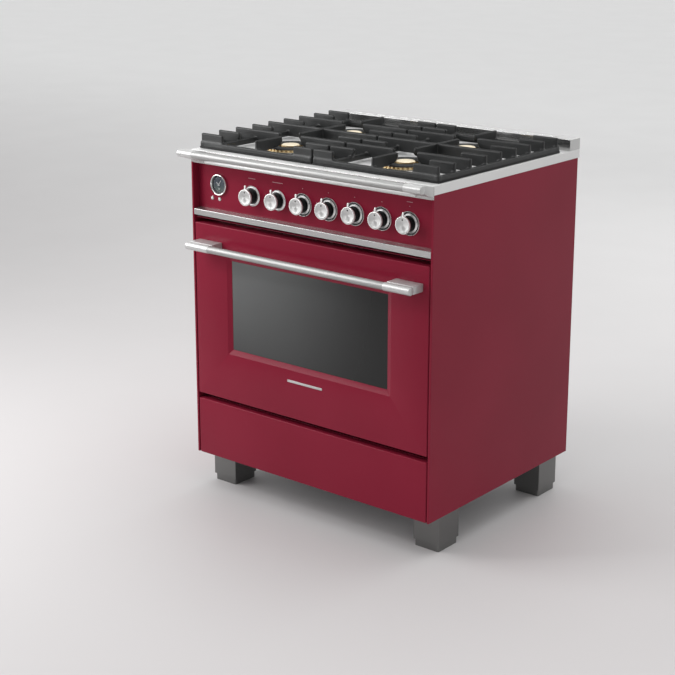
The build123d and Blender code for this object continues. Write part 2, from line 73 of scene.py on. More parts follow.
# ---------------------------------------------------------------- node helpers
class Mat:
    """A node material with short helpers."""

    def __init__(self, name):
        self.m = bpy.data.materials.new(name)
        self.m.use_nodes = True
        self.t = self.m.node_tree
        self.t.nodes.clear()
        self.out = self.t.nodes.new("ShaderNodeOutputMaterial")
        self.b = self.t.nodes.new("ShaderNodeBsdfPrincipled")
        self.link(self.b.outputs[0], self.out.inputs[0])
        self.tc = self.t.nodes.new("ShaderNodeTexCoord")

    def link(self, a, b):
        self.t.links.new(a, b)

    def set(self, **k):
        names = {"color": "Base Color", "rough": "Roughness", "metal": "Metallic", "ior": "IOR", "coat": "Coat Weight",
                 "coat_rough": "Coat Roughness", "spec": "Specular IOR Level", "trans": "Transmission Weight",
                 "alpha": "Alpha", "sheen": "Sheen Weight", "aniso": "Anisotropic"}
        for key, v in k.items():
            s = self.b.inputs[names[key]]
            if hasattr(v, "is_output") and v.is_output:
                self.link(v, s)
            elif key == "color":
                s.default_value = (v[0], v[1], v[2], 1)
            else:
                s.default_value = v
        return self

    def coord(self, scale=(1, 1, 1), rot=(0, 0, 0), loc=(0, 0, 0)):
        mp = self.t.nodes.new("ShaderNodeMapping")
        self.link(self.tc.outputs["Object"], mp.inputs["Vector"])
        mp.inputs["Scale"].default_value = scale
        mp.inputs["Rotation"].default_value = rot
        mp.inputs["Location"].default_value = loc
        return mp.outputs[0]

    def noise(self, vec, scale, detail=3.0, rough=0.5, dist=0.0):
        n = self.t.nodes.new("ShaderNodeTexNoise")
        self.link(vec, n.inputs["Vector"])
        n.inputs["Scale"].default_value = scale
        n.inputs["Detail"].default_value = detail
        n.inputs["Roughness"].default_value = rough
        n.inputs["Distortion"].default_value = dist
        return n.outputs[0]

    def voronoi(self, vec, scale, feature="F1"):
        n = self.t.nodes.new("ShaderNodeTexVoronoi")
        n.feature = feature
        self.link(vec, n.inputs["Vector"])
        n.inputs["Scale"].default_value = scale
        return n.outputs["Distance"]

    def wave(self, vec, scale, kind="RINGS", axis="Y"):
        n = self.t.nodes.new("ShaderNodeTexWave")
        n.wave_type = kind
        if kind == "RINGS":
            n.rings_direction = axis
        else:
            n.bands_direction = axis
        self.link(vec, n.inputs["Vector"])
        n.inputs["Scale"].default_value = scale
        return n.outputs["Fac"]

    def rng(self, v, a, b, c, d, smooth=False):
        n = self.t.nodes.new("ShaderNodeMapRange")
        n.interpolation_type = "SMOOTHSTEP" if smooth else "LINEAR"
        self.link(v, n.inputs["Value"])
        for k, x in (("From Min", a), ("From Max", b), ("To Min", c), ("To Max", d)):
            n.inputs[k].default_value = x
        return n.outputs[0]

    def mix(self, f, a, b, mode="MIX"):
        n = self.t.nodes.new("ShaderNodeMix")
        n.data_type = "RGBA"
        n.blend_type = mode
        if hasattr(f, "is_output"):
            self.link(f, n.inputs[0])
        else:
            n.inputs[0].default_value = f
        for s, v in ((n.inputs[6], a), (n.inputs[7], b)):
            if hasattr(v, "is_output"):
                self.link(v, s)
            else:
                s.default_value = (v[0], v[1], v[2], 1)
        return n.outputs[2]

    def math(self, op, a, b=0.0):
        n = self.t.nodes.new("ShaderNodeMath")
        n.operation = op
        for s, v in ((n.inputs[0], a), (n.inputs[1], b)):
            if hasattr(v, "is_output"):
                self.link(v, s)
            else:
                s.default_value = v
        return n.outputs[0]

    def bump(self, h, strength, distance=0.001, under=None):
        n = self.t.nodes.new("ShaderNodeBump")
        n.inputs["Strength"].default_value = strength
        n.inputs["Distance"].default_value = distance
        self.link(h, n.inputs["Height"])
        if under is not None:
            self.link(under, n.inputs["Normal"])
        self.link(n.outputs[0], self.b.inputs["Normal"])
        return n.outputs[0]

    def axis(self, which):
        n = self.t.nodes.new("ShaderNodeSeparateXYZ")
        self.link(self.tc.outputs["Object"], n.inputs[0])
        return n.outputs["XYZ".index(which)]


def enamel(name, deep, light, rough=(0.20, 0.27), peel=0.03):
    k = Mat(name)
    big = k.noise(k.coord((1.3, 1.3, 1.3)), 2.2, 2.0)
    fine = k.noise(k.coord(), 60.0, 3.0)
    c = k.mix(k.rng(big, 0.35, 0.65, 0.0, 1.0), deep, light)
    c = k.mix(k.rng(fine, 0.3, 0.7, 0.0, 0.10), c, light)
    r = k.rng(k.noise(k.coord(), 9.0, 4.0), 0.3, 0.7, rough[0], rough[1])
    k.set(color=c, rough=r, ior=1.5, spec=0.13)
    k.bump(k.noise(k.coord(), 240.0, 2.0), peel, 0.0004)
    return k.m


def steel(name, tint, along="X", rough=(0.22, 0.36), streak=0.06, dark=0.90, metal=1.0):
    """Brushed stainless: fine streaks run along one axis."""
    k = Mat(name)
    s = {"X": (3.0, 520.0, 520.0), "Y": (520.0, 3.0, 520.0), "Z": (520.0, 520.0, 3.0)}[along]
    s2 = {"X": (14.0, 1500.0, 1500.0), "Y": (1500.0, 14.0, 1500.0), "Z": (1500.0, 1500.0, 14.0)}[along]
    a = k.noise(k.coord(s), 1.0, 4.0, 0.6)
    b = k.noise(k.coord(s2), 1.0, 2.0, 0.6)
    cloud = k.noise(k.coord(), 7.0, 3.0)
    both = k.math("ADD", k.math("MULTIPLY", a, 0.65), k.math("MULTIPLY", b, 0.35))
    lo = tuple(dark * t for t in tint)
    c = k.mix(k.rng(both, 0.34, 0.66, 0.0, 1.0), lo, tint)
    c = k.mix(k.rng(cloud, 0.35, 0.75, 0.0, 0.16), c, tuple(0.82 * t for t in tint))
    r = k.rng(both, 0.3, 0.7, rough[0], rough[1])
    r = k.math("ADD", r, k.rng(cloud, 0.3, 0.7, -0.02, 0.03))
    k.set(color=c, rough=r, metal=metal)
    k.bump(both, streak, 0.0004)
    return k.m


def plainmetal(name, tint, rough=(0.08, 0.14), metal=1.0, scale=30.0, bumps=0.01):
    k = Mat(name)
    n = k.noise(k.coord(), scale, 4.0)
    c = k.mix(k.rng(n, 0.3, 0.7, 0.0, 1.0), tuple(0.93 * t for t in tint), tint)
    k.set(color=c, rough=k.rng(n, 0.3, 0.7, rough[0], rough[1]), metal=metal)
    k.bump(k.noise(k.coord(), scale * 14, 2.0), bumps, 0.0003)
    return k.m


def turned_bezel():
    """Turned ring: satin and painted dark on its upper and lower flanks (painted shade), painted bright where it faces
    sideways to +X (painted highlight).
    """
    k = Mat("turned_bezel_steel")
    tc = k.t.nodes.new("ShaderNodeTexCoord")
    sp = k.t.nodes.new("ShaderNodeSeparateXYZ")
    k.link(tc.outputs["Normal"], sp.inputs[0])
    n = k.noise(k.coord(), 30.0, 4.0)
    c = k.mix(k.rng(n, 0.3, 0.7, 0.0, 1.0), (0.74, 0.74, 0.735), (0.82, 0.82, 0.81))
    # Painted shade: flanks facing up or down get a dark grey colour.
    updown_painted_shade = k.rng(k.math("ABSOLUTE", sp.outputs["Z"]), 0.08, 0.34, 0.0, 1.0, True)
    c = k.mix(updown_painted_shade, c, (0.27, 0.27, 0.27))
    # Painted highlight: flanks facing +X get a near-white colour.
    side = k.rng(sp.outputs["X"], 0.12, 0.50, 0.0, 1.0, True)
    c = k.mix(side, c, (0.93, 0.93, 0.925))
    r = k.math("ADD", k.rng(n, 0.3, 0.7, 0.15, 0.24), k.math("MULTIPLY", updown_painted_shade, 0.18))
    k.set(color=c, rough=r, metal=k.rng(side, 0.0, 1.0, 0.9, 0.6))
    k.bump(k.noise(k.coord(), 420.0, 2.0), 0.01, 0.0003)
    return k.m


def galvanised():
    k = Mat("galvanised_sheet")
    cells = k.voronoi(k.coord(), 90.0)
    n = k.noise(k.coord(), 40.0, 4.0)
    c = k.mix(k.rng(cells, 0.1, 0.8, 0.0, 1.0), (0.40, 0.41, 0.42), (0.55, 0.56, 0.57))
    c = k.mix(k.rng(n, 0.4, 0.75, 0.0, 0.35), c, (0.32, 0.33, 0.34))
    k.set(color=c, rough=k.rng(cells, 0.0, 0.8, 0.34, 0.52), metal=0.9)
    k.bump(n, 0.05, 0.0005)
    return k.m


def castiron():
    """Cast iron enamel: matt on the tops and painted darker there as painted shade, smoother and lighter on the sides,
    with a painted shadow line along the bottom edge.
    """
    k = Mat("cast_iron_enamel")
    grain = k.noise(k.coord(), 950.0, 3.0, 0.6)
    lump = k.noise(k.coord(), 130.0, 3.0)
    big = k.noise(k.coord(), 14.0, 3.0)
    tc = k.t.nodes.new("ShaderNodeTexCoord")
    sp = k.t.nodes.new("ShaderNodeSeparateXYZ")
    k.link(tc.outputs["Normal"], sp.inputs[0])
    # Up-facing mask: roughens the tops and picks their darker colour, which is painted shade.
    up = k.rng(sp.outputs["Z"], 0.35, 0.85, 0.0, 1.0, True)
    side = k.mix(k.rng(grain, 0.35, 0.7, 0.0, 1.0), (0.014, 0.0145, 0.015), (0.025, 0.026, 0.026))
    side = k.mix(k.rng(big, 0.4, 0.7, 0.0, 0.4), side, (0.034, 0.035, 0.035))
    # Painted shadow: side faces turn near-black below about z 914-916 mm, a shadow line along the grate's bottom edge.
    side = k.mix(k.rng(k.axis("Z"), 0.9138, 0.9160, 1.0, 0.0, True), side, (0.0025, 0.0025, 0.0025))
    # Top colour, darker than the sides: painted shade.
    top = k.mix(k.rng(grain, 0.35, 0.7, 0.0, 1.0), (0.009, 0.0092, 0.0095), (0.015, 0.0155, 0.0155))
    r = k.rng(lump, 0.3, 0.7, 0.34, 0.46)
    r = k.math("ADD", r, k.math("MULTIPLY", up, 0.40))
    k.set(color=k.mix(up, side, top), rough=r, spec=0.38)
    h = k.math("ADD", k.math("MULTIPLY", grain, 0.45), k.math("MULTIPLY", lump, 0.8))
    k.bump(h, 0.18, 0.0006)
    return k.m


def speckled(name, base, speck, rough=(0.22, 0.32)):
    k = Mat(name)
    v = k.voronoi(k.coord(), 420.0)
    w = k.voronoi(k.coord(loc=(0.37, 0.11, 0.05)), 170.0)
    n = k.noise(k.coord(), 8.0, 3.0)
    c = k.mix(k.rng(v, 0.12, 0.2, 1.0, 0.0), base, speck)
    c = k.mix(k.rng(w, 0.05, 0.1, 0.7, 0.0), c, speck)
    c = k.mix(k.rng(n, 0.4, 0.7, 0.0, 0.3), c, tuple(1.6 * t for t in base))
    k.set(color=c, rough=k.rng(n, 0.3, 0.7, rough[0], rough[1]), coat=0.3, coat_rough=0.1)
    k.bump(k.noise(k.coord(), 200.0, 2.0), 0.05, 0.0004)
    return k.m


def plastic(name, base, rough=(0.32, 0.44), bumps=0.05, scale=700.0):
    k = Mat(name)
    n = k.noise(k.coord(), scale, 2.0)
    m = k.noise(k.coord(), 45.0, 3.0)
    c = k.mix(k.rng(m, 0.3, 0.7, 0.0, 1.0), tuple(0.85 * t for t in base), tuple(1.15 * t for t in base))
    k.set(color=c, rough=k.rng(n, 0.3, 0.7, rough[0], rough[1]))
    k.bump(n, bumps, 0.0003)
    return k.m


def wool():
    k = Mat("mineral_wool")
    n = k.noise(k.coord((1, 4, 1)), 90.0, 5.0, 0.7, 1.2)
    c = k.mix(k.rng(n, 0.3, 0.7, 0.0, 1.0), (0.48, 0.42, 0.28), (0.74, 0.69, 0.52))
    k.set(color=c, rough=0.95)
    k.bump(n, 0.6, 0.003)
    return k.m


def brushed_disc(name, centre, tint, rough=(0.2, 0.34), rings=2600.0):
    """Turned metal: fine rings round an axis along Y through centre."""
    k = Mat(name)
    v = k.coord(loc=(-centre[0], 0, -centre[2]))
    flat = k.t.nodes.new("ShaderNodeVectorMath")
    flat.operation = "MULTIPLY"
    k.link(v, flat.inputs[0])
    flat.inputs[1].default_value = (1, 0, 1)
    ln = k.t.nodes.new("ShaderNodeVectorMath")
    ln.operation = "LENGTH"
    k.link(flat.outputs[0], ln.inputs[0])
    comb = k.t.nodes.new("ShaderNodeCombineXYZ")
    k.link(ln.outputs["Value"], comb.inputs[0])
    n = k.noise(comb.outputs[0], rings, 3.0, 0.6)
    cloud = k.noise(k.coord(), 60.0, 3.0)
    c = k.mix(k.rng(n, 0.3, 0.7, 0.0, 1.0), tuple(0.84 * t for t in tint), tint)
    c = k.mix(k.rng(cloud, 0.4, 0.7, 0.0, 0.12), c, tuple(0.8 * t for t in tint))
    # Painted highlight: a near-white ring at radius 19.0-19.7 mm, the rim of the knob face.
    c = k.mix(k.rng(ln.outputs["Value"], 0.0190, 0.0197, 0.0, 1.0), c, (0.97, 0.97, 0.96))
    k.set(color=c, rough=k.rng(n, 0.3, 0.7, rough[0], rough[1]), metal=0.7, aniso=0.75)
    tg = k.t.nodes.new("ShaderNodeTangent")
    tg.direction_type = "RADIAL"
    tg.axis = "Y"
    k.link(tg.outputs[0], k.b.inputs["Tangent"])
    k.bump(n, 0.08, 0.0003)
    return k.m


def smoked():
    """Smoked window glass with painted light: lighter at the upper left, darker towards the lower right and the
    bottom.
    """
    k = Mat("smoked_glass")
    # Painted light: this left-to-right and top-to-bottom factor brightens the glass colour.
    x = k.rng(k.axis("X"), -0.26, 0.26, 1.0, 0.0, True)
    z = k.rng(k.axis("Z"), 0.39, 0.64, 0.30, 1.0)
    f = k.math("MULTIPLY", x, z)
    n = k.noise(k.coord(), 5.0, 2.0)
    f = k.math("MULTIPLY", f, k.rng(n, 0.2, 0.8, 0.92, 1.08))
    c = k.mix(f, (0.0055, 0.006, 0.006), (0.145, 0.149, 0.149))
    k.set(color=c, rough=k.rng(k.noise(k.coord(), 30.0, 3.0), 0.3, 0.7, 0.05, 0.08), ior=1.45, spec=0.4)
    return k.m


def dial_print():
    """Clock dial: slate above, paler grey-green below."""
    k = Mat("dial_print")
    z = k.rng(k.axis("Z"), 0.806, 0.832, 0.0, 1.0, True)
    n = k.noise(k.coord(), 300.0, 3.0)
    c = k.mix(z, (0.105, 0.135, 0.125), (0.070, 0.085, 0.115))
    c = k.mix(k.rng(n, 0.3, 0.7, 0.0, 0.15), c, (0.05, 0.06, 0.07))
    k.set(color=c, rough=k.rng(n, 0.3, 0.7, 0.3, 0.4))
    return k.m


def clearglass(name, tint=(0.75, 0.8, 0.8), alpha=0.22):
    k = Mat(name)
    n = k.noise(k.coord(), 12.0, 2.0)
    c = k.mix(k.rng(n, 0.3, 0.7, 0.0, 1.0), tuple(0.95 * t for t in tint), tint)
    k.set(color=c, rough=k.rng(n, 0.3, 0.7, 0.02, 0.05), ior=1.5, alpha=alpha)
    return k.m


RED_D, RED_L = (0.212, 0.0115, 0.0300), (0.236, 0.0140, 0.0350)
M = {
    "red_enamel": enamel("cherry_enamel", RED_D, RED_L),
    "stainless": steel("brushed_stainless_x", (0.62, 0.62, 0.61), "X", (0.24, 0.38)),
    "rear": steel("rear_trim_steel", (0.60, 0.60, 0.595), "X", (0.16, 0.26), 0.04, 0.94),
    "trim": steel("bright_trim_steel", (0.66, 0.65, 0.645), "X", (0.18, 0.28), 0.04, 0.94, 0.9),
    "bar": steel("satin_bar_steel", (0.40, 0.40, 0.395), "X", (0.46, 0.56), 0.05, 0.92, 0.8),
    "bracket": plainmetal("satin_bracket_steel", (0.56, 0.56, 0.555), (0.32, 0.42), 0.45, 50.0, 0.02),
    "bezel": turned_bezel(),
    "crystal": clearglass("clock_crystal", (0.04, 0.05, 0.06), 0.10),
    "stainless_y": steel("brushed_stainless_y", (0.56, 0.56, 0.555), "Y"),
    "stainless_z": steel("brushed_stainless_z", (0.21, 0.21, 0.206), "Z", (0.34, 0.46), 0.03, 0.95),
    "cooktop": steel("cooktop_stainless", (0.80, 0.80, 0.795), "X", (0.36, 0.48), 0.04, 0.90, 0.28),
    "polished_steel": plainmetal("polished_steel", (0.80, 0.80, 0.79), (0.05, 0.12)),
    "galvanised": galvanised(),
    "black_enamel": plastic("black_enamel", (0.016, 0.016, 0.017), (0.28, 0.38), 0.03, 500.0),
    "oven_enamel": speckled("oven_enamel", (0.030, 0.031, 0.036), (0.20, 0.21, 0.23)),
    "insulation": wool(),
    "dark_glass": smoked(),
    "clear_glass": clearglass("oven_glass", (0.42, 0.46, 0.46), 0.30),
    "cast_iron": castiron(),
    "brass": plainmetal("machined_brass", (0.86, 0.66, 0.36), (0.26, 0.38), 0.85, 80.0, 0.03),
    "brass_cap": plainmetal("worn_brass_cap", (0.90, 0.79, 0.58), (0.34, 0.46), 0.6, 80.0, 0.03),
    "aluminium": plainmetal("cast_aluminium", (0.56, 0.56, 0.55), (0.34, 0.5), 1.0, 60.0, 0.10),
    "wire": plainmetal("nickel_wire", (0.66, 0.66, 0.65), (0.14, 0.26)),
    "plastic_black": plastic("black_moulding", (0.018, 0.018, 0.019)),
    "hand": plastic("white_hand_paint", (0.74, 0.75, 0.75), (0.3, 0.4), 0.02),
    "dial": dial_print(),
    "tab": plainmetal("satin_tab", (0.95, 0.95, 0.94), (0.26, 0.36), 0.15),
    # Near-black strip under the grate frames: painted shadow.
    "shadow_strip": plastic("painted_shadow_black", (0.006, 0.006, 0.0065), (0.7, 0.85), 0.1),
    "grip": plastic("knob_grip", (0.012, 0.012, 0.013), (0.3, 0.42), 0.04),
    "mark": plastic("grey_print", (0.10, 0.10, 0.105), (0.4, 0.5), 0.02),
    "mark_light": plastic("pale_print", (0.40, 0.22, 0.25), (0.4, 0.5), 0.02),
    "gasket": plastic("woven_gasket", (0.035, 0.034, 0.032), (0.7, 0.85), 0.8, 900.0),
    "ceramic": plastic("white_ceramic", (0.72, 0.71, 0.67), (0.25, 0.4), 0.03),
    "lcd": plastic("display_window", (0.38, 0.43, 0.41), (0.3, 0.4), 0.01),
    "glow": plastic("red_lens", (0.28, 0.01, 0.02), (0.1, 0.2), 0.01),
}
M["knob"] = M["stainless"]


# ---------------------------------------------------------------- mesh helpers
def vtx(plane, a, b, d):
    return {"XZ": (a, d, b), "XY": (a, b, d), "YZ": (d, a, b)}[plane]


def rrect(x0, x1, z0, z1, r, n=5):
    r = max(r, 1e-5)
    pts = []
    for cx, cz, a0 in ((x1 - r, z1 - r, 0), (x0 + r, z1 - r, 90), (x0 + r, z0 + r, 180), (x1 - r, z0 + r, 270)):
        for i in range(n + 1):
            a = math.radians(a0 + 90 * i / n)
            pts.append((cx + r * math.cos(a), cz + r * math.sin(a)))
    return pts


def loft(bm, loops, plane="XZ", cap0=True, cap1=True, closed=False, mat=0):
    """Skin through loops given as ([(a, b)...], depth), all in millimetres of the front-plane frame."""
    rows = []
    for pts, d in loops:
        row = []
        for a, b in pts:
            x, y, z = vtx(plane, a, b, d)
            row.append(bm.verts.new((x * MM, fy(y), z * MM)))
        rows.append(row)
    pairs = list(zip(rows, rows[1:])) + ([(rows[-1], rows[0])] if closed else [])
    for p, q in pairs:
        n = len(p)
        for i in range(n):
            f = bm.faces.new((p[i], p[(i + 1) % n], q[(i + 1) % n], q[i]))
            f.material_index = mat
    if not closed:
        if cap0:
            bm.faces.new(rows[0]).material_index = mat
        if cap1:
            bm.faces.new(rows[-1][::-1]).material_index = mat


def slab(bm, plane, a0, a1, b0, b1, d_back, d_front, r=1.2, rc=1.5, n=3, mat=0):
    """Closed plate with rounded corners (rc) and a rounded front edge (r)."""
    s = 1 if d_front > d_back else -1
    loops = [(rrect(a0, a1, b0, b1, rc), d_back)]
    for i in range(n + 1):
        t = math.radians(90 * i / n)
        k = r * (1 - math.cos(t))
        loops.append((rrect(a0 + k, a1 - k, b0 + k, b1 - k, max(rc - k * 0.5, 0.3)), d_front - s * r + s * r * math.sin(t)))
    loft(bm, loops, plane, mat=mat)


def lathe(bm, prof, centre, axis="Y", seg=72, closed=False, mat=0, rf=None):
    """Revolves (radius, position along the axis) about an axis through centre (front-plane millimetres)."""
    cx, cy, cz = centre
    rows = []
    for k, (r, h) in enumerate(prof):
        if r < 1e-6:
            p = {"Y": (cx, h, cz), "Z": (cx, cy, h), "X": (h, cy, cz)}[axis]
            rows.append([bm.verts.new((p[0] * MM, fy(p[1]), p[2] * MM))])
            continue
        row = []
        for i in range(seg):
            a = 2 * math.pi * i / seg
            rr = rf(r, k, i) if rf else r
            u, v = rr * math.cos(a), rr * math.sin(a)
            p = {"Y": (cx + u, h, cz + v), "Z": (cx + u, cy + v, h), "X": (h, cy + u, cz + v)}[axis]
            row.append(bm.verts.new((p[0] * MM, fy(p[1]), p[2] * MM)))
        rows.append(row)
    pairs = list(zip(rows, rows[1:])) + ([(rows[-1], rows[0])] if closed else [])
    for p, q in pairs:
        for i in range(seg):
            j = (i + 1) % seg
            if len(p) == 1 and len(q) == 1:
                continue
            if len(p) == 1:
                f = bm.faces.new((p[0], q[j], q[i]))
            elif len(q) == 1:
                f = bm.faces.new((p[i], p[j], q[0]))
            else:
                f = bm.faces.new((p[i], p[j], q[j], q[i]))
            f.material_index = mat
    if not closed:
        for row, rev in ((rows[0], False), (rows[-1], True)):
            if len(row) > 1:
                bm.faces.new(row[::-1] if rev else row).material_index = mat


def block(bm, x0, x1, y0, y1, z0, z1, r=0.8, seg=2, mat=0):
    """Box with rounded edges."""
    x0, x1 = min(x0, x1), max(x0, x1)
    c = Vector(((x0 + x1) / 2 * MM, fy((y0 + y1) / 2), (z0 + z1) / 2 * MM))
    s = Matrix.Diagonal(((x1 - x0) * MM, (y1 - y0) * MM, (z1 - z0) * MM, 1))
    vs = bmesh.ops.create_cube(bm, size=1, matrix=Matrix.Translation(c) @ s)["verts"]
    for f in {f for v in vs for f in v.link_faces}:
        f.material_index = mat
    if r > 0:
        es = list({e for v in vs for e in v.link_edges})
        bmesh.ops.bevel(bm, geom=es, offset=r * MM, segments=seg, profile=0.5, affect="EDGES", clamp_overlap=True, material=-1)


def prism(bm, pts, plane, d0, d1, r=0.8, seg=2, mat=0):
    """Extruded outline with rounded edges; pts are (a, b) in the plane."""
    rows = []
    for d in (d0, d1):
        row = []
        for a, b in pts:
            x, y, z = vtx(plane, a, b, d)
            row.append(bm.verts.new((x * MM, fy(y), z * MM)))
        rows.append(row)
    n = len(pts)
    fs = [bm.faces.new(rows[0]), bm.faces.new(rows[1][::-1])]
    for i in range(n):
        fs.append(bm.faces.new((rows[0][i], rows[1][i], rows[1][(i + 1) % n], rows[0][(i + 1) % n])))
    for f in fs:
        f.material_index = mat
    bmesh.ops.recalc_face_normals(bm, faces=fs)
    if r > 0:
        es = list({e for f in fs for e in f.edges})
        es = [e for e in es if e.calc_face_angle(0) > math.radians(12)]
        bmesh.ops.bevel(bm, geom=es, offset=r * MM, segments=seg, profile=0.5, affect="EDGES", clamp_overlap=True, material=-1)


def add(name, bm, mats, body, rep=(), angle=32, weld=True):
    if weld:
        bmesh.ops.remove_doubles(bm, verts=bm.verts, dist=2e-6)
    bmesh.ops.dissolve_degenerate(bm, edges=bm.edges, dist=1e-7)
    bmesh.ops.recalc_face_normals(bm, faces=bm.faces)
    me = bpy.data.meshes.new(name)
    bm.to_mesh(me)
    bm.free()
    return finish_piece(name, me, mats, body, rep, angle)


def finish_piece(name, me, mats, body, rep=(), angle=32):
    for m in ([mats] if isinstance(mats, (str, bpy.types.Material)) else mats):
        me.materials.append(M[m] if isinstance(m, str) else m)
    me.shade_smooth()
    me.set_sharp_from_angle(angle=math.radians(angle))
    ob = bpy.data.objects.new(name, me)
    scene.collection.objects.link(ob)
    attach(ob, body)
    if rep:
        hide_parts(*rep)
    return ob


# ---------------------------------------------------------------- CAD nodes that stay
slot_of = {s["node"]: s["material_slot"] for s in frame["record"]["subparts"]}
FINISH = {
    "side_panels": "red_enamel", "front_frame": "red_enamel", "control_panel": "red_enamel",
    "front_rail_bar": "bar", "door_handle_bar": "bar",
    "leg_sleeves": "stainless_z", "cooktop": "cooktop", "rear_trim": "rear", "panel_trim_strip": "trim", "front_fascia": "trim", "fan_motor": "galvanised",
    "valves_and_switches": "brass", "fan_baffle": "oven_enamel", "convection_fan": "aluminium",
    "burner_bases": "aluminium",
}
for name, ob in nodes.items():
    want = FINISH.get(name, slot_of.get(name, "galvanised"))
    if name.startswith("foot_"):
        want = "stainless_z"
    ob.data.materials.clear()
    ob.data.materials.append(M.get(want) or M["galvanised"])


def soften(name, width, seg=2, limit=40):
    """Rounds a carried-over sheet part's edges with modifiers; its mesh stays as it is."""
    ob = nodes[name]
    w = ob.modifiers.new("weld", "WELD")
    w.merge_threshold = 1e-5
    b = ob.modifiers.new("bevel", "BEVEL")
    b.width = width * MM
    b.segments = seg
    b.limit_method = "ANGLE"
    b.angle_limit = math.radians(limit)
    b.harden_normals = False
    b.use_clamp_overlap = True


for name, w in (("side_panels", 0.6), ("front_frame", 0.4), ("panel_trim_strip", 0.45), ("front_fascia", 0.5), ("cooktop", 0.7),
                ("rear_trim", 0.5), ("leg_sleeves", 0.6), ("base_pan", 0.4), ("drawer_box", 0.4)):
    soften(name, w)

# ---------------------------------------------------------------- positions from the frame
door_lo, door_hi = (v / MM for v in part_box("door_outer_panel"))
DX, DZ0, DZ1 = door_hi.x, door_lo.z, door_hi.z
dr_lo, dr_hi = (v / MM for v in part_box("drawer_front"))
bar_lo, bar_hi = (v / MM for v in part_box("door_handle_bar"))
HZ, HY = (bar_lo.z + bar_hi.z) / 2, (bar_lo.y + bar_hi.y) / 2 - YF / MM
br_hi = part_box("door_handle_brackets")[1] / MM
rail_lo, rail_hi = (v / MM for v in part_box("front_rail_bar"))
RZ, RY = (rail_lo.z + rail_hi.z) / 2, (rail_lo.y + rail_hi.y) / 2 - YF / MM
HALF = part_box("side_panels")[1].x / MM
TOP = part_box("cooktop")[1].z / MM
knobs = []
for i in range(1, 8):
    p = joints[f"knob_{i}_turn"]["pos_m"]
    knobs.append((i, p[0] / MM, p[2] / MM))
cp = joints["minute_hand_turn"]["pos_m"]
CX, CZ = cp[0] / MM, cp[2] / MM
WX, WZ0, WZ1, BEV = 249.0, 401.0, 635.0, 13.0

# ---------------------------------------------------------------- oven door
bm = bmesh.new()
loops = [(rrect(-DX, DX, DZ0, DZ1, 3.0), 6.0)]
for t in (0, 22, 45, 68, 90):
    a = math.radians(t)
    k = 2.2 * (1 - math.cos(a))
    loops.append((rrect(-DX + k, DX - k, DZ0 + k, DZ1 - k, 3.0 - k * 0.6), 2.2 - 2.2 * math.sin(a)))
o = BEV + 0.8
loops += [(rrect(-WX - o, WX + o, WZ0 - o, WZ1 + o, 3.2), 0.0), (rrect(-WX - BEV, WX + BEV, WZ0 - BEV, WZ1 + BEV, 3.0), 0.25),
          (rrect(-WX - BEV + 0.7, WX + BEV - 0.7, WZ0 - BEV + 0.7, WZ1 + BEV - 0.7, 2.8), 0.7),
          (rrect(-WX - 0.5, WX + 0.5, WZ0 - 0.5, WZ1 + 0.5, 1.6), 5.2), (rrect(-WX, WX, WZ0, WZ1, 1.4), 5.9),
          (rrect(-WX - 14, WX + 14, WZ0 - 14, WZ1 + 14, 3.0), 5.9), (rrect(-WX - 14.5, WX + 14.5, WZ0 - 14.5, WZ1 + 14.5, 3.0), 1.8),
          (rrect(-DX + 1.5, DX - 1.5, DZ0 + 1.5, DZ1 - 1.5, 2.0), 1.8), (rrect(-DX + 1.5, DX - 1.5, DZ0 + 1.5, DZ1 - 1.5, 2.0), 6.0)]
loft(bm, loops, "XZ", closed=True)
for s in (-1, 1):
    block(bm, s * (DX - 1.5), s * DX, 5.9, 38, DZ0 + 1.4, DZ1 - 1.4, r=0)
block(bm, -DX + 1.4, DX - 1.4, 5.9, 38, DZ1 - 1.5, DZ1, r=0)
block(bm, -DX + 1.4, DX - 1.4, 5.9, 10, DZ0, DZ0 + 1.5, r=0)
add("door_outer_shell", bm, "red_enamel", "oven_door", ["door_outer_panel"])

bm = bmesh.new()
slab(bm, "XZ", -60, 52, 356.5, 362.5, -0.05, -1.2, r=0.5, rc=1.2)
add("door_badge_plain", bm, M["bracket"], "oven_door")

# Handle: brackets with a flat top plate and a half-round nose, a fine seam between them.
bx0, bx1 = bar_hi.x, br_hi.x
for s, side in ((-1, "left"), (1, "right")):
    bm = bmesh.new()
    xa, xb = sorted((s * bx0, s * bx1))
    block(bm, xa, xb, -37.4, -0.05, HZ - 9.6, HZ + 9.6, r=1.1, seg=3)
    block(bm, xa + 1.2, xb - 1.2, -41, -36, HZ - 8.2, HZ + 8.2, r=0.3)
    prof = [(0, xa), (8.6, xa), (9.5, xa + 0.35), (10.0, xa + 1.1), (10.0, xb - 1.1), (9.5, xb - 0.35), (8.6, xb), (0, xb)]
    lathe(bm, prof, (0, HY, HZ), "X", 64)
    add(f"door_handle_bracket_{side}", bm, M["bracket"], "oven_door",
        ["door_handle_brackets"] if s == -1 else (), weld=False)

# ---------------------------------------------------------------- drawer
bm = bmesh.new()
slab(bm, "XZ", -dr_hi.x, dr_hi.x, dr_lo.z, dr_hi.z, 20, 0, r=2.2, rc=3.0, n=4)
add("drawer_face", bm, "red_enamel", "drawer", ["drawer_front"])

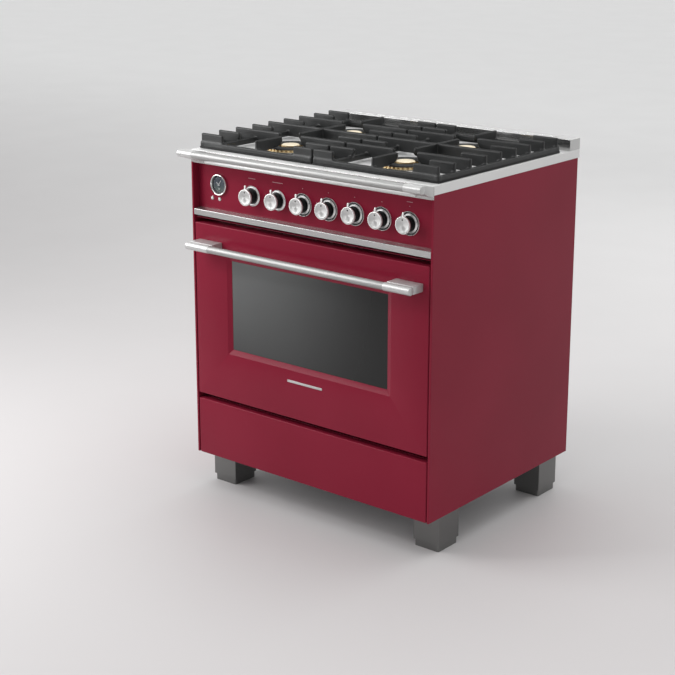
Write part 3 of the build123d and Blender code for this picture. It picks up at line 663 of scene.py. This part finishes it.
# ---------------------------------------------------------------- front rail
for s, side in ((-1, "left"), (1, "right")):
    xa, xb = sorted((s * rail_hi.x, s * HALF))
    bm = bmesh.new()
    pts = [(0, 881), (0, 906.6), (-34, RZ + 9.0), (-34, RZ - 9.0), (-24, 889)]
    prism(bm, pts, "YZ", xa, xb, r=1.0, seg=3)
    block(bm, xa + 1.0, xb - 1.0, -38, -33, RZ - 7.8, RZ + 7.8, r=0.3)
    prof = [(0, xa), (8.4, xa), (9.3, xa + 0.35), (9.8, xa + 1.1), (9.8, xb - 1.1), (9.3, xb - 0.35), (8.4, xb), (0, xb)]
    lathe(bm, prof, (0, RY, RZ), "X", 64)
    add(f"rail_bracket_{side}", bm, M["bracket"], "range_body",
        ["front_rail_brackets"] if s == -1 else (), weld=False)

bm = bmesh.new()
prism(bm, [(0.2, 876.3), (-1.4, 876.8), (-2.6, 878.2), (-3.0, 880.2), (-2.6, 882.2), (-1.4, 883.8), (0.2, 884.6)], "YZ", -rail_hi.x - 1, rail_hi.x + 1, r=0.25, seg=2)
add("fascia_lower_roll", bm, "cooktop", "range_body")

# ---------------------------------------------------------------- knobs
for i, x, z in knobs:
    bm = bmesh.new()
    face = [(0, -7.55), (16.2, -7.6), (17.0, -7.95), (19.2, -8.0), (20.2, -7.7), (20.65, -7.0), (20.8, -6.2), (20.8, -3.7),
            (20.5, -3.1), (19.8, -2.9), (0, -2.9)]
    lathe(bm, face, (x, 0, z), "Y", 96)
    add(f"knob_{i}_face", bm, brushed_disc(f"knob_face_{i}", (x * MM, 0, z * MM), (0.65, 0.65, 0.645), (0.28, 0.40)), f"knob_{i}_body", weld=False)
    bm = bmesh.new()
    prism(bm, [(-7.3, z + 18.5), (-4.4, z + 18.5), (-3.4, z + 30.4), (-6.2, z + 30.4)], "YZ", x - 2.2, x + 2.2, r=0.9, seg=3, mat=0)
    grip = [(0, -3.2), (15.9, -3.2), (16.4, -2.6), (16.5, -1.0), (16.5, 11.6), (15.9, 13.2), (14.7, 14.0), (0, 14.0)]
    lathe(bm, grip, (x, 0, z), "Y", 144, mat=1,
          rf=lambda r, k, j: r - (0.75 if (k in (2, 3, 4, 5) and j % 4 in (0, 1)) else 0.0))
    lathe(bm, [(0, 13.6), (4.0, 13.6), (4.0, 61.4), (3.6, 62.0), (0, 62.0)], (x, 0, z), "Y", 32, mat=2)
    lathe(bm, [(0, -7.5), (1.85, -7.5), (2.0, -7.75), (1.7, -7.98), (0, -8.0)], (x, 0, z + 12.8), "Y", 24, mat=3)
    add(f"knob_{i}_grip", bm, [M["tab"], M["grip"], M["wire"], M["plastic_black"]],
        f"knob_{i}_body", [f"knob_{i}"], weld=False)

bm = bmesh.new()
for i, x, z in knobs:
    if i >= 3:
        lathe(bm, [(28.5, 19.9), (28.5, 18.4), (28.2, 17.7), (27.7, 17.4), (27.2, 17.7), (26.9, 18.4), (26.8, 19.9)], (x, 0, z), "Y", 96, closed=True)
        lathe(bm, [(26.9, 19.95), (26.9, 19.3), (23.2, 19.3), (23.2, 19.95)], (x, 0, z), "Y", 96, closed=True, mat=1)
        lathe(bm, [(23.4, 19.9), (23.4, 19.6), (22.9, 19.3), (19.9, 17.0), (19.3, 16.8), (18.8, 17.1), (18.6, 17.8), (18.6, 19.9)], (x, 0, z), "Y", 96, closed=True)
    else:
        lathe(bm, [(26.0, 19.9), (25.9, 19.6), (25.4, 19.2), (22.8, 17.1), (21.9, 16.8), (20.8, 17.0), (19.1, 18.1), (18.6, 18.9), (18.6, 19.9)], (x, 0, z), "Y", 96, closed=True)
    lathe(bm, [(18.7, 19.96), (18.7, 19.5), (8.0, 19.5), (8.0, 19.96)], (x, 0, z), "Y", 64, closed=True, mat=1)
add("knob_bezel_rings", bm, [M["bezel"], M["plastic_black"]], "range_body", ["knob_bezels"], weld=False)

# Plain marks over the knobs.
bm = bmesh.new()
for i, x, z in knobs:
    zz = z + (50 if i == 7 else 44)
    w = {1: 12.0, 2: 17.0, 7: 8.5}.get(i)
    if w:
        slab(bm, "XZ", x - w, x + w, zz - 0.7, zz + 0.7, 19.98, 19.88, r=0.04, rc=0.5, n=1)
    if not w or i == 7:
        slab(bm, "XZ", x - 1.1, x + 1.1, z + 38.9, z + 41.1, 19.98, 19.88, r=0.04, rc=1.0, n=2)
add("panel_marks", bm, M["mark_light"], "range_body", weld=False)

# ---------------------------------------------------------------- clock
bm = bmesh.new()
lathe(bm, [(27.3, 19.9), (27.3, 15.2), (27.0, 14.1), (26.2, 13.3), (25.2, 13.0), (24.3, 13.3), (23.4, 14.4), (22.8, 16.4), (22.3, 18.0), (22.2, 19.9)],
      (CX, 0, CZ), "Y", 96, closed=True)
add("clock_bezel_ring", bm, M["polished_steel"], "range_body", ["clock_bezel"], weld=False)
bm = bmesh.new()
lathe(bm, [(21.8, 18.6), (21.8, 17.5), (19.6, 18.2), (19.4, 18.6)], (CX, 0, CZ), "Y", 96, closed=True, mat=0)
for h in range(60):
    a = math.radians(h * 6)
    long = h % 5 == 0
    if not long and h % 5:
        r0, r1, w = 17.6, 18.2, 0.09
    else:
        r0, r1, w = 16.4, 18.2, 0.22
    d, n = Vector((math.sin(a), 0, math.cos(a))), Vector((math.cos(a), 0, -math.sin(a)))
    c = Vector((CX, 0, CZ))
    q = [c + d * r0 - n * w, c + d * r0 + n * w, c + d * r1 + n * w, c + d * r1 - n * w]
    prism(bm, [(v.x, v.z) for v in q], "XZ", 18.6, 18.42, r=0, mat=1)
slab(bm, "XZ", CX - 3.0, CX + 3.0, CZ - 13.2, CZ - 8.4, 18.58, 18.35, r=0.1, rc=0.6, n=2, mat=2)
lathe(bm, [(1.6, 18.6), (1.6, 18.4), (2.0, 18.35), (2.3, 18.6)], (CX, 0, CZ), "Y", 32, closed=True, mat=0)
add("clock_dial_print", bm, [M["plastic_black"], M["hand"], M["lcd"]], "range_body", weld=False)


def hand(name, body, cad, angle, length, w0, w1, y0, y1, hub, post):
    bm = bmesh.new()
    a = math.radians(angle)
    d, n = Vector((math.sin(a), 0, math.cos(a))), Vector((math.cos(a), 0, -math.sin(a)))
    c = Vector((CX, 0, CZ))
    q = [(-3.4, -w0 * 0.8), (-3.4, w0 * 0.8), (0, w0), (length - 1.2, w1), (length, 0.02), (length - 1.2, -w1), (0, -w0)]
    prism(bm, [((c + d * l + n * t).x, (c + d * l + n * t).z) for l, t in q], "XZ", y0, y1, r=0.08, seg=1)
    lathe(bm, [(post[1], y0 - 0.02), (hub - 0.3, y0 - 0.02), (hub, y0 + 0.2), (hub, y1), (post[0], y1 + 0.05), (post[0], post[2]), (post[1], post[2])],
          (CX, 0, CZ), "Y", 32, closed=True) if post[1] > 0 else \
        lathe(bm, [(0, y0 - 0.02), (hub - 0.3, y0 - 0.02), (hub, y0 + 0.2), (hub, y1), (post[0], y1 + 0.05), (post[0], post[2]), (0, post[2])],
              (CX, 0, CZ), "Y", 32)
    add(name, bm, M["hand"], body, [cad], weld=False)


hand("minute_hand_blade", "minute_hand", "clock_minute_hand", 38, 15.9, 0.95, 0.6, 15.6, 16.2, 2.2, (0.6, 0, 24))
hand("hour_hand_blade", "hour_hand", "clock_hour_hand", -55, 10.9, 1.15, 0.8, 16.9, 17.5, 2.2, (1.25, 0.65, 23))

bm = bmesh.new()
lathe(bm, [(0, 14.0), (10.5, 14.1), (17.5, 14.4), (21.4, 14.8), (22.5, 15.2), (22.5, 15.45), (21.3, 15.3), (10.5, 14.75), (0, 14.65)], (CX, 0, CZ), "Y", 72)
add("clock_glass", bm, M["crystal"], "range_body", weld=False)

BTN = [(side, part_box(f"clock_button_{side}")) for side in ("left", "right")]
BTN = [(side, (lo.x + hi.x) / 2 / MM, (lo.z + hi.z) / 2 / MM) for side, (lo, hi) in BTN]
for side, x, z in BTN:
    bm = bmesh.new()
    lathe(bm, [(0, 17.1), (1.6, 17.15), (2.5, 17.45), (3.15, 18.0), (3.4, 18.8), (3.4, 29), (0, 29)], (x, 0, z), "Y", 40)
    add(f"clock_button_{side}_cap", bm, M["tab"], f"button_{side}", [f"clock_button_{side}"], weld=False)
bm = bmesh.new()
for side, x, z in BTN:
    lathe(bm, [(5.1, 19.95), (5.1, 19.5), (4.7, 19.2), (4.1, 19.2), (3.9, 19.95)], (x, 0, z), "Y", 48, closed=True)
add("clock_button_rings", bm, M["polished_steel"], "range_body", weld=False)

# ---------------------------------------------------------------- burners
BURN = [(-182.0, 157.5), (182.0, 157.5), (-182.0, 409.0), (182.0, 409.0)]
bm_h, bm_c, bm_i, bm_b = bmesh.new(), bmesh.new(), bmesh.new(), bmesh.new()
for x, y in BURN:
    prof = [(38.0, 909.5), (63.0, 909.5), (63.5, 910.0), (63.5, 911.2), (63.5, 911.25), (63.5, 915.45), (63.0, 915.5), (38.0, 915.5)]
    lathe(bm_h, prof, (x, y, 0), "Z", 288, closed=True,
          rf=lambda r, k, j: r - (6.0 if (k in (4, 5, 6) and j % 8 in (0, 1, 2)) else 0.0))
    lathe(bm_h, [(0, 918.4), (24.0, 918.4), (24.0, 916.2), (22.4, 915.0), (22.4, 909.6), (18, 909.6), (18, 914), (0, 914)][::-1], (x, y, 0), "Z", 96,
          rf=lambda r, k, j: r - (1.2 if (k in (3,) and j % 4 in (0, 1)) else 0.0))
    lathe(bm_c, [(33.0, 915.6), (64.2, 915.6), (65.0, 916.3), (65.0, 917.2), (64.4, 918.2), (62.8, 918.8), (60.5, 919.0), (36.5, 919.0),
                 (34.6, 918.7), (33.4, 918.0), (33.0, 917.2)], (x, y, 0), "Z", 128, closed=True)
    lathe(bm_c, [(0, 918.5), (21.8, 918.5), (22.5, 919.1), (22.5, 920.0), (21.6, 921.0), (20.0, 921.5), (17.8, 921.6), (0, 921.4)], (x, y, 0), "Z", 96, mat=1)
    lathe(bm_b, [(30.0, 908.0), (61.0, 908.0), (62.0, 908.4), (62.0, 909.1), (61.2, 909.5), (30.0, 909.5)], (x, y, 0), "Z", 96, closed=True)
    a = math.radians(225)
    lathe(bm_i, [(0, 909.6), (2.1, 909.6), (2.1, 914.6), (1.6, 915.2), (0.7, 915.4), (0.7, 917.8), (0, 918.0)],
          (x + 30.6 * math.cos(a), y + 30.6 * math.sin(a), 0), "Z", 24)
add("burner_flame_rings", bm_h, "brass", "range_body", ["burner_heads"], weld=False)
add("burner_cap_rings", bm_c, ["cast_iron", "brass_cap"], "range_body", ["burner_caps"], weld=False)
add("burner_skirts", bm_b, "black_enamel", "range_body", weld=False)
add("burner_igniters", bm_i, "ceramic", "range_body", weld=False)

# ---------------------------------------------------------------- grates
GX0, GX1, GY0, GY1 = 2.0, 372.5, 26.5, 541.5
RX1 = 369.5
RY0, RST, RT = 33.0, 62.75, 9.0
FZ, ZF, Z0, Z1, Z2 = 908.3, 911.0, 914.0, 924.5, 946.5


def grate_mesh(s):
    bm = bmesh.new()

    def bar(a, b, y0, y1, z0, z1, taper=0.7):
        x0, x1 = sorted((s * a, s * b))
        c = Vector(((x0 + x1) / 2 * MM, fy((y0 + y1) / 2), (z0 + z1) / 2 * MM))
        m = Matrix.Translation(c) @ Matrix.Diagonal(((x1 - x0) * MM, (y1 - y0) * MM, (z1 - z0) * MM, 1))
        vs = bmesh.ops.create_cube(bm, size=1, matrix=m)["verts"]
        wide_x = (x1 - x0) > (y1 - y0)
        for v in vs:
            if v.co.z > c.z:
                if wide_x:
                    v.co.y += taper * MM * (1 if v.co.y < c.y else -1)
                else:
                    v.co.x += taper * MM * (1 if v.co.x < c.x else -1)

    def tapered(pts, plane, d0, d1, taper=0.85):
        before = set(bm.verts)
        prism(bm, pts, plane, d0, d1, r=0)
        mid = (d0 + d1) / 2
        for v in set(bm.verts) - before:
            if v.co.z > (Z2 - 6) * MM:
                if plane == "XZ":
                    v.co.y += taper * MM * (1 if v.co.y < fy(mid) else -1)
                else:
                    v.co.x += taper * MM * (1 if v.co.x < mid * MM else -1)

    def rib(i, a, b, end):
        y = RY0 + RST * i
        pts = [(a, Z0), (b, Z0), (b, Z2), (a, Z2)]
        if end == "hi":
            pts = [(a, Z0 + 2), (b - 14, Z0 + 5), (b - 4, Z0 + 13), (b, Z2 - 12), (b, Z2 - 2.5), (b - 3, Z2), (a, Z2)]
        if end == "lo":
            pts = [(a + 14, Z0 + 5), (b, Z0 + 2), (b, Z2), (a + 3, Z2), (a, Z2 - 2.5), (a, Z2 - 12), (a + 4, Z0 + 13)]
        tapered([(s * p, q) for p, q in pts], "XZ", y - RT / 2, y + RT / 2)

    def finger(y0, y1, end):
        x = s * 182.0
        if end == "hi":
            pts = [(y0, Z0), (y1 - 18, Z0 + 8), (y1 - 5, Z0 + 14), (y1, Z2 - 12), (y1, Z2 - 2.5), (y1 - 3, Z2), (y0, Z2)]
        else:
            pts = [(y0 + 18, Z0 + 8), (y1, Z0), (y1, Z2), (y0 + 3, Z2), (y0, Z2 - 2.5), (y0, Z2 - 12), (y0 + 5, Z0 + 14)]
        tapered(pts, "YZ", x - RT / 2, x + RT / 2)

    bar(GX0, GX1, GY0, GY0 + 11.5, ZF, Z1)
    bar(GX0, GX1, GY1 - 11.5, GY1, ZF, Z1)
    bar(GX0, GX0 + 10, GY0, GY1, ZF, Z1)
    bar(GX1 - 11, GX1, GY0, GY1, ZF, Z1)
    bar(62, 70, GY0 + 5, GY1 - 5, Z0, Z1 + 2.5)
    bar(294, 302, GY0 + 5, GY1 - 5, Z0, Z1 + 2.5)
    for i in (0, 8):
        rib(i, GX0, 62, "")
        rib(i, 298, RX1, "")
    for i in (1, 3, 5, 7):
        rib(i, GX0, 76, "hi")
        rib(i, 298, RX1, "lo")
    for i in (2, 6):
        rib(i, GX0, 148, "hi")
        rib(i, 216, RX1, "lo")
    rib(4, GX0, RX1, "")
    mid = RY0 + 4 * RST
    end = RY0 + 8 * RST + RT / 2
    finger(GY0 + 2, 123, "hi")
    finger(192, mid, "lo")
    finger(mid, 374, "hi")
    finger(445, end, "lo")
    for fx in (20, 354):
        for yy in (GY0 + 5, GY1 - 5):
            lathe(bm, [(0, FZ), (3.9, FZ), (4.5, FZ + 0.8), (5.0, ZF + 1), (0, ZF + 1)], (s * fx, yy, 0), "Z", 24)
    bmesh.ops.recalc_face_normals(bm, faces=bm.faces)
    me = bpy.data.meshes.new("grate_raw")
    bm.to_mesh(me)
    bm.free()
    ob = bpy.data.objects.new("grate_raw", me)
    scene.collection.objects.link(ob)
    rm = ob.modifiers.new("remesh", "REMESH")
    rm.mode = "VOXEL"
    rm.voxel_size = 0.0018
    sm = ob.modifiers.new("smooth", "SMOOTH")
    sm.factor = 0.5
    sm.iterations = 2
    bpy.context.view_layer.update()
    dg = bpy.context.evaluated_depsgraph_get()
    out = bpy.data.meshes.new_from_object(ob.evaluated_get(dg))
    bpy.data.objects.remove(ob)
    return out


for s, side in ((-1, "left"), (1, "right")):
    me = grate_mesh(s)
    me.name = f"grate_{side}_cast"
    me.materials.clear()
    finish_piece(f"grate_{side}_cast", me, "cast_iron", f"grate_{side}_body", [f"grate_{side}"], angle=60)
    # A near-black strip round the foot of the grate frame: painted shadow for the dark gap between grate and cooktop.
    bm = bmesh.new()
    xa, xb = sorted((s * (GX0 - 0.4), s * (GX1 + 0.5)))
    za, zb = FZ + 0.3, ZF + 2.3
    block(bm, xa, xb, GY0 - 0.5, GY0 + 6.0, za, zb, r=0.5)
    block(bm, xa, xb, GY1 - 6.0, GY1 + 0.5, za, zb, r=0.5)
    block(bm, xa, xa + 6.0, GY0 + 5.5, GY1 - 5.5, za, zb, r=0.5)
    block(bm, xb - 6.0, xb, GY0 + 5.5, GY1 - 5.5, za, zb, r=0.5)
    add(f"grate_{side}_underlip", bm, M["shadow_strip"], f"grate_{side}_body", weld=False)

# Plain marks etched in the front strip of the cooktop.
bm = bmesh.new()
for x in (-27.0, 50.0, 129.0, 208.0):
    for dx in (-3.4, 3.4):
        for dy in (-3.0, 3.0):
            lathe(bm, [(0, TOP), (1.5, TOP), (1.5, TOP + 0.05), (1.4, TOP + 0.09), (0, TOP + 0.09)], (x + dx, 17 + dy, 0), "Z", 20)
block(bm, 284, 302, 16.2, 17.4, TOP, TOP + 0.09, r=0)
block(bm, 288, 298, 19.2, 20.2, TOP, TOP + 0.09, r=0)
add("cooktop_marks", bm, M["mark"], "range_body", weld=False)

# ---------------------------------------------------------------- oven mouth gasket, back screws
bm = bmesh.new()
loops = []
for i in range(12):
    a = 2 * math.pi * i / 12
    k = 1.75 * math.cos(a)
    loops.append((rrect(-301 - k, 301 + k, 289 - k, 711 + k, 14 + k, 8), 46.0 + 1.75 * math.sin(a)))
loft(bm, loops, "XZ", closed=True)
add("oven_gasket", bm, "gasket", "range_body", weld=False)

bp_lo, bp_hi = (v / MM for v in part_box("back_panel"))
by = bp_hi.y - YF / MM
bm = bmesh.new()
spots = [(x, z) for x in (-362, -180, 0, 180, 362) for z in (219, 868)] + [(x, z) for x in (-362, 362) for z in (380, 540, 700)]
for x, z in spots:
    lathe(bm, [(0, by + 0.02), (4.4, by + 0.02), (4.4, by + 0.5), (3.8, by + 1.5), (2.4, by + 2.1), (0.9, by + 2.2), (0.8, by + 1.3), (0, by + 1.3)],
          (x, 0, z), "Y", 24)
add("back_panel_screws", bm, "wire", "range_body", weld=False)

# ---------------------------------------------------------------- floor, light, camera
k = Mat("pale_floor")
d = k.axis("Y")
# Painted light: the floor is darker towards the front (low Y) and brighter far back (high Y).
floor_painted_light = k.rng(d, -0.5, 6.5, 0.0, 1.0, True)
n = k.noise(k.coord(), 3.0, 4.0)
c = k.mix(floor_painted_light, (0.56, 0.545, 0.547), (0.93, 0.93, 0.93))
c = k.mix(k.rng(n, 0.35, 0.65, 0.0, 0.03), c, (0.52, 0.51, 0.51))
k.set(color=c, rough=k.rng(n, 0.3, 0.7, 0.50, 0.60), spec=0.25)
bm = bmesh.new()
bmesh.ops.create_grid(bm, x_segments=40, y_segments=40, size=30)
me = bpy.data.meshes.new("floor")
bm.to_mesh(me)
bm.free()
me.materials.append(k.m)
floor = bpy.data.objects.new("floor", me)
scene.collection.objects.link(floor)
floor.location.z = cad_lo.z - 0.0003

world = bpy.data.worlds.new("studio")
world.use_nodes = True
scene.world = world
wt = world.node_tree
bg = wt.nodes["Background"]
bg.inputs[0].default_value = (1.0, 1.0, 1.0, 1)
wc = wt.nodes.new("ShaderNodeTexCoord")
ws = wt.nodes.new("ShaderNodeSeparateXYZ")
wt.links.new(wc.outputs["Generated"], ws.inputs[0])


def wmath(op, a, b):
    n = wt.nodes.new("ShaderNodeMath")
    n.operation = op
    for sock, v in ((n.inputs[0], a), (n.inputs[1], b)):
        if hasattr(v, "is_output"):
            wt.links.new(v, sock)
        else:
            sock.default_value = v
    return n.outputs[0]


glow = wmath("ADD", wmath("MULTIPLY", ws.outputs["Y"], 0.34), wmath("MULTIPLY", ws.outputs["X"], -0.14))
glow = wmath("ADD", glow, wmath("MULTIPLY", wmath("MAXIMUM", ws.outputs["Z"], 0.0), 0.32))
glow = wmath("MAXIMUM", wmath("ADD", glow, 0.52), 0.12)
wt.links.new(glow, bg.inputs[1])
scene.view_settings.view_transform = "Standard"
scene.view_settings.look = "None"


def area(name, loc, target, size, power, color=(1, 1, 1)):
    li = bpy.data.lights.new(name, "AREA")
    li.shape = "RECTANGLE"
    li.size, li.size_y = size
    li.energy = power
    li.color = color
    ob = bpy.data.objects.new(name, li)
    scene.collection.objects.link(ob)
    ob.location = loc
    ob.visible_camera = False
    ob.rotation_euler = (Vector(target) - Vector(loc)).to_track_quat("-Z", "Y").to_euler()
    return ob


area("key_left", (-1.65, -1.45, 1.5), (-0.25, -0.2, 0.45), (1.4, 1.4), 33)
area("top_soft", (0.3, 0.0, 3.2), (0, 0.0, 0.5), (2.6, 2.6), 30)
area("fill_right", (3.4, -1.8, 1.8), (0, 0, 0.6), (2.0, 2.4), 2.5)
area("ring_glint", (1.17, -1.19, 0.39), (0.05, 0.0, 0.823), (0.22, 0.22), 1.1)
area("back_rim", (0.6, 3.4, 2.2), (0, 0, 0.8), (3.4, 1.8), 24)
area("rail_glint", (-0.92, -1.53, 1.95), (0.28, -0.33, 0.9), (0.12, 0.12), 3.5)

cam_data = bpy.data.cameras.new("camera")
cam = bpy.data.objects.new("camera", cam_data)
scene.collection.objects.link(cam)
scene.camera = cam
yaw, pitch, lens = 39.468, 14.879, 81.255
cam.location = (2.3309, -2.9934, 1.5714)
cam.rotation_euler = (math.radians(90 - pitch), 0, math.radians(yaw))
cam_data.sensor_width = 36
cam_data.lens = lens
cam_data.shift_y = -55 / 675
cam_data.clip_start, cam_data.clip_end = 0.05, 100
